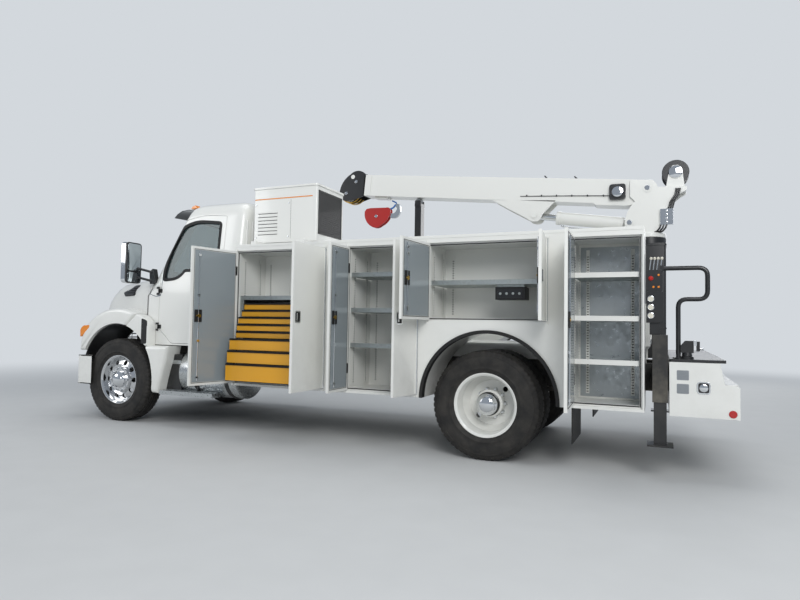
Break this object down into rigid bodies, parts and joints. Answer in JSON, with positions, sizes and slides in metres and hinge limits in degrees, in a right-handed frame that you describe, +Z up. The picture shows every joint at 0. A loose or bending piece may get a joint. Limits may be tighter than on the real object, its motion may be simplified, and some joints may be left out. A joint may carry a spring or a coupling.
{
  "type": "service crane truck",
  "caption": "White medium service truck with a telescopic crane, open tool bays, drawers, a compressor and a rear work bench",
  "frame": {"origin": "on the floor, on the truck's centreline, below the middle of the rear axle", "axes": "X forward, Y to the driver's side (left), Z up"},
  "size_m": [7.592, 3.1337, 3.4076],
  "materials": {
    "painted_frame": "satin black chassis paint",
    "tyre_rubber": "worn black tyre rubber",
    "polished_aluminium": "polished forged aluminium",
    "white_paint": "gloss white paint",
    "door_paint": "satin grey-blue inner panel with white outer skin",
    "galvanised_steel": "galvanised sheet",
    "drawer_paint": "yellow powder coat with black frame",
    "black_rubber": "black moulded rubber",
    "black_paint": "black paint",
    "chrome_steel": "hard chrome",
    "red_paint": "red paint",
    "window_glass": "clear tinted window glass",
    "cab_plastic": "grained dark grey plastic",
    "step_aluminium": "mill finish aluminium"
  },
  "bodies": {
    "truck": {"frame": "painted_frame", "driveline": "painted_frame", "front_axle": "painted_frame", "cab": "white_paint", "cab_glass": "window_glass", "cab_interior": "cab_plastic", "mirrors": "chrome_steel", "steps": "step_aluminium", "bumpers": "white_paint", "pack_left": "white_paint", "pack_right": "white_paint", "shelves": "galvanised_steel", "bed": "white_paint", "flares": "black_rubber", "compressor": "white_paint", "mast": "black_paint"},
    "rear_wheel_left": {"rear_wheels_left": "white_paint", "rear_tyres_left": "tyre_rubber"},
    "knuckle_left_body": {"knuckle_left": "painted_frame"},
    "front_wheel_left_body": {"front_wheel_left": "polished_aluminium", "front_tyre_left": "tyre_rubber"},
    "rear_wheel_right": {"rear_wheels_right": "white_paint", "rear_tyres_right": "tyre_rubber"},
    "knuckle_right_body": {"knuckle_right": "painted_frame"},
    "front_wheel_right_body": {"front_wheel_right": "polished_aluminium", "front_tyre_right": "tyre_rubber"},
    "hood_body": {"hood": "white_paint"},
    "cab_door_left_body": {"cab_door_left": "white_paint"},
    "cab_door_right_body": {"cab_door_right": "white_paint"},
    "body_door_left_1": {"door_left_1": "door_paint"},
    "body_door_left_2": {"door_left_2": "door_paint"},
    "body_door_left_3": {"door_left_3": "door_paint"},
    "body_door_left_4": {"door_left_4": "door_paint"},
    "body_door_left_5": {"door_left_5": "door_paint"},
    "body_door_left_6": {"door_left_6": "door_paint"},
    "body_door_left_7": {"door_left_7": "door_paint"},
    "body_door_right_1": {"door_right_1": "door_paint"},
    "body_door_right_2": {"door_right_2": "door_paint"},
    "body_door_right_3": {"door_right_3": "door_paint"},
    "body_door_right_4": {"door_right_4": "door_paint"},
    "body_door_right_5": {"door_right_5": "door_paint"},
    "body_door_right_6": {"door_right_6": "door_paint"},
    "drawer_1_body": {"drawer_1": "drawer_paint"},
    "drawer_2_body": {"drawer_2": "drawer_paint"},
    "drawer_3_body": {"drawer_3": "drawer_paint"},
    "drawer_4_body": {"drawer_4": "drawer_paint"},
    "drawer_5_body": {"drawer_5": "drawer_paint"},
    "drawer_6_body": {"drawer_6": "drawer_paint"},
    "drawer_7_body": {"drawer_7": "drawer_paint"},
    "drawer_8_body": {"drawer_8": "drawer_paint"},
    "tailgate_body": {"tailgate": "white_paint"},
    "outrigger_left_body": {"outrigger_left": "white_paint"},
    "outrigger_right_body": {"outrigger_right": "white_paint"},
    "turret_body": {"turret": "white_paint"},
    "boom_body": {"boom": "white_paint", "hook_block": "red_paint"},
    "extension_body": {"boom_extension": "black_paint"},
    "cylinder_body": {"lift_cylinder": "white_paint"},
    "rod_body": {"lift_rod": "chrome_steel"}
  },
  "joints": [
    {"name": "rear_wheel_left_spin", "type": "hinge", "parent": "truck", "child": "rear_wheel_left", "pos_m": [0, 0.88, 0.512], "axis": [0, 1, 0], "continuous": true},
    {"name": "steer_left", "type": "hinge", "parent": "truck", "child": "knuckle_left_body", "pos_m": [4.71, 0.85, 0.512], "axis": [0, 0, 1], "range_deg": [-35, 35]},
    {"name": "front_wheel_left_spin", "type": "hinge", "parent": "knuckle_left_body", "child": "front_wheel_left_body", "pos_m": [4.71, 1.01, 0.512], "axis": [0, 1, 0], "continuous": true},
    {"name": "rear_wheel_right_spin", "type": "hinge", "parent": "truck", "child": "rear_wheel_right", "pos_m": [0, -0.88, 0.512], "axis": [0, 1, 0], "continuous": true},
    {"name": "steer_right", "type": "hinge", "parent": "truck", "child": "knuckle_right_body", "pos_m": [4.71, -0.85, 0.512], "axis": [0, 0, 1], "range_deg": [-35, 35]},
    {"name": "front_wheel_right_spin", "type": "hinge", "parent": "knuckle_right_body", "child": "front_wheel_right_body", "pos_m": [4.71, -1.01, 0.512], "axis": [0, 1, 0], "continuous": true},
    {"name": "hood_tilt", "type": "hinge", "parent": "truck", "child": "hood_body", "pos_m": [5.475, 0, 0.825], "axis": [0, 1, 0], "range_deg": [0, 65]},
    {"name": "cab_door_left_hinge", "type": "hinge", "parent": "truck", "child": "cab_door_left_body", "pos_m": [4.1525, 1.059, 1.4], "axis": [0, 0, -1], "range_deg": [0, 65]},
    {"name": "cab_door_right_hinge", "type": "hinge", "parent": "truck", "child": "cab_door_right_body", "pos_m": [4.1525, -1.059, 1.4], "axis": [0, 0, 1], "range_deg": [0, 65]},
    {"name": "door_left_1_hinge", "type": "hinge", "parent": "truck", "child": "body_door_left_1", "pos_m": [2.859, 1.2263, 1.33], "axis": [0, 0, -1], "range_deg": [-104, 4]},
    {"name": "door_left_2_hinge", "type": "hinge", "parent": "truck", "child": "body_door_left_2", "pos_m": [1.701, 1.2263, 1.33], "axis": [0, 0, 1], "range_deg": [-90, 3.46]},
    {"name": "door_left_3_hinge", "type": "hinge", "parent": "truck", "child": "body_door_left_3", "pos_m": [1.449, 1.2263, 1.33], "axis": [0, 0, -1], "range_deg": [-90, 8]},
    {"name": "door_left_4_hinge", "type": "hinge", "parent": "truck", "child": "body_door_left_4", "pos_m": [0.661, 1.2263, 1.33], "axis": [0, 0, 1], "range_deg": [-80, 12]},
    {"name": "door_left_5_hinge", "type": "hinge", "parent": "truck", "child": "body_door_left_5", "pos_m": [0.569, 1.2263, 1.33], "axis": [0, 0, -1], "range_deg": [-95, 2]},
    {"name": "door_left_6_hinge", "type": "hinge", "parent": "truck", "child": "body_door_left_6", "pos_m": [-0.579, 1.2263, 1.33], "axis": [0, 0, 1], "range_deg": [-96, 2]},
    {"name": "door_left_7_hinge", "type": "hinge", "parent": "truck", "child": "body_door_left_7", "pos_m": [-0.781, 1.2263, 1.33], "axis": [0, 0, -1], "range_deg": [-88, 6]},
    {"name": "door_right_1_hinge", "type": "hinge", "parent": "truck", "child": "body_door_right_1", "pos_m": [2.859, -1.2263, 1.33], "axis": [0, 0, 1], "range_deg": [0, 108]},
    {"name": "door_right_2_hinge", "type": "hinge", "parent": "truck", "child": "body_door_right_2", "pos_m": [1.701, -1.2263, 1.33], "axis": [0, 0, -1], "range_deg": [0, 98]},
    {"name": "door_right_3_hinge", "type": "hinge", "parent": "truck", "child": "body_door_right_3", "pos_m": [1.449, -1.2263, 1.33], "axis": [0, 0, 1], "range_deg": [0, 98]},
    {"name": "door_right_4_hinge", "type": "hinge", "parent": "truck", "child": "body_door_right_4", "pos_m": [0.661, -1.2263, 1.33], "axis": [0, 0, -1], "range_deg": [0, 92]},
    {"name": "door_right_5_hinge", "type": "hinge", "parent": "truck", "child": "body_door_right_5", "pos_m": [0.569, -1.2263, 1.33], "axis": [0, 0, 1], "range_deg": [0, 97]},
    {"name": "door_right_6_hinge", "type": "hinge", "parent": "truck", "child": "body_door_right_6", "pos_m": [-0.579, -1.2263, 1.33], "axis": [0, 0, -1], "range_deg": [0, 98]},
    {"name": "drawer_1_slide", "type": "slide", "parent": "truck", "child": "drawer_1_body", "axis": [0, 1, 0], "range_m": [-0.108, 0.0061]},
    {"name": "drawer_2_slide", "type": "slide", "parent": "truck", "child": "drawer_2_body", "axis": [0, 1, 0], "range_m": [-0.15, 0.0077]},
    {"name": "drawer_3_slide", "type": "slide", "parent": "truck", "child": "drawer_3_body", "axis": [0, 1, 0], "range_m": [-0.209, 0.01]},
    {"name": "drawer_4_slide", "type": "slide", "parent": "truck", "child": "drawer_4_body", "axis": [0, 1, 0], "range_m": [-0.228, 0.0107]},
    {"name": "drawer_5_slide", "type": "slide", "parent": "truck", "child": "drawer_5_body", "axis": [0, 1, 0], "range_m": [-0.241, 0.0112]},
    {"name": "drawer_6_slide", "type": "slide", "parent": "truck", "child": "drawer_6_body", "axis": [0, 1, 0], "range_m": [-0.347, 0.0153]},
    {"name": "drawer_7_slide", "type": "slide", "parent": "truck", "child": "drawer_7_body", "axis": [0, 1, 0], "range_m": [-0.382, 0.0166]},
    {"name": "drawer_8_slide", "type": "slide", "parent": "truck", "child": "drawer_8_body", "axis": [0, 1, 0], "range_m": [-0.402, 0.0174]},
    {"name": "tailgate_drop", "type": "hinge", "parent": "truck", "child": "tailgate_body", "pos_m": [-1.398, 0, 1.07], "axis": [0, -1, 0], "range_deg": [0, 90]},
    {"name": "outrigger_left_drop", "type": "slide", "parent": "truck", "child": "outrigger_left_body", "axis": [0, 0, -1], "range_m": [0, 0.26]},
    {"name": "outrigger_right_drop", "type": "slide", "parent": "truck", "child": "outrigger_right_body", "axis": [0, 0, -1], "range_m": [0, 0.26]},
    {"name": "crane_slew", "type": "hinge", "parent": "truck", "child": "turret_body", "pos_m": [-1.385, -0.85, 2.3], "axis": [0, 0, 1], "range_deg": [-180, 180]},
    {"name": "boom_lift", "type": "hinge", "parent": "turret_body", "child": "boom_body", "pos_m": [-1.37, -0.85, 2.86], "axis": [0, -1, 0], "range_deg": [0, 72]},
    {"name": "boom_extend", "type": "slide", "parent": "boom_body", "child": "extension_body", "axis": [0.9951, 0, 0.0993], "range_m": [0, 1.9]},
    {"name": "lift_cylinder_pivot", "type": "hinge", "parent": "turret_body", "child": "cylinder_body", "pos_m": [-1.18, -0.85, 2.47], "axis": [0, -1, 0], "range_deg": [0, 68.5]},
    {"name": "lift_rod_slide", "type": "slide", "parent": "cylinder_body", "child": "rod_body", "axis": [0.9896, 0, 0.1439], "range_m": [0, 0.515]}
  ],
  "couplings": [
    {"joint": "steer_right", "follows": "steer_left", "ratio": 1},
    {"joint": "door_left_2_hinge", "follows": "door_left_1_hinge", "ratio": 0.86538},
    {"joint": "drawer_1_slide", "follows": "door_left_1_hinge", "m_per_rad": 0.058398},
    {"joint": "drawer_2_slide", "follows": "door_left_1_hinge", "m_per_rad": 0.081536},
    {"joint": "drawer_3_slide", "follows": "door_left_1_hinge", "m_per_rad": 0.11404},
    {"joint": "drawer_4_slide", "follows": "door_left_1_hinge", "m_per_rad": 0.12451},
    {"joint": "drawer_5_slide", "follows": "door_left_1_hinge", "m_per_rad": 0.13167},
    {"joint": "drawer_6_slide", "follows": "door_left_1_hinge", "m_per_rad": 0.19007},
    {"joint": "drawer_7_slide", "follows": "door_left_1_hinge", "m_per_rad": 0.20935},
    {"joint": "drawer_8_slide", "follows": "door_left_1_hinge", "m_per_rad": 0.22037},
    {"joint": "lift_cylinder_pivot", "follows": "boom_lift", "ratio": 0.944},
    {"joint": "lift_rod_slide", "follows": "boom_lift", "m_per_rad": 0.405}
  ]
}
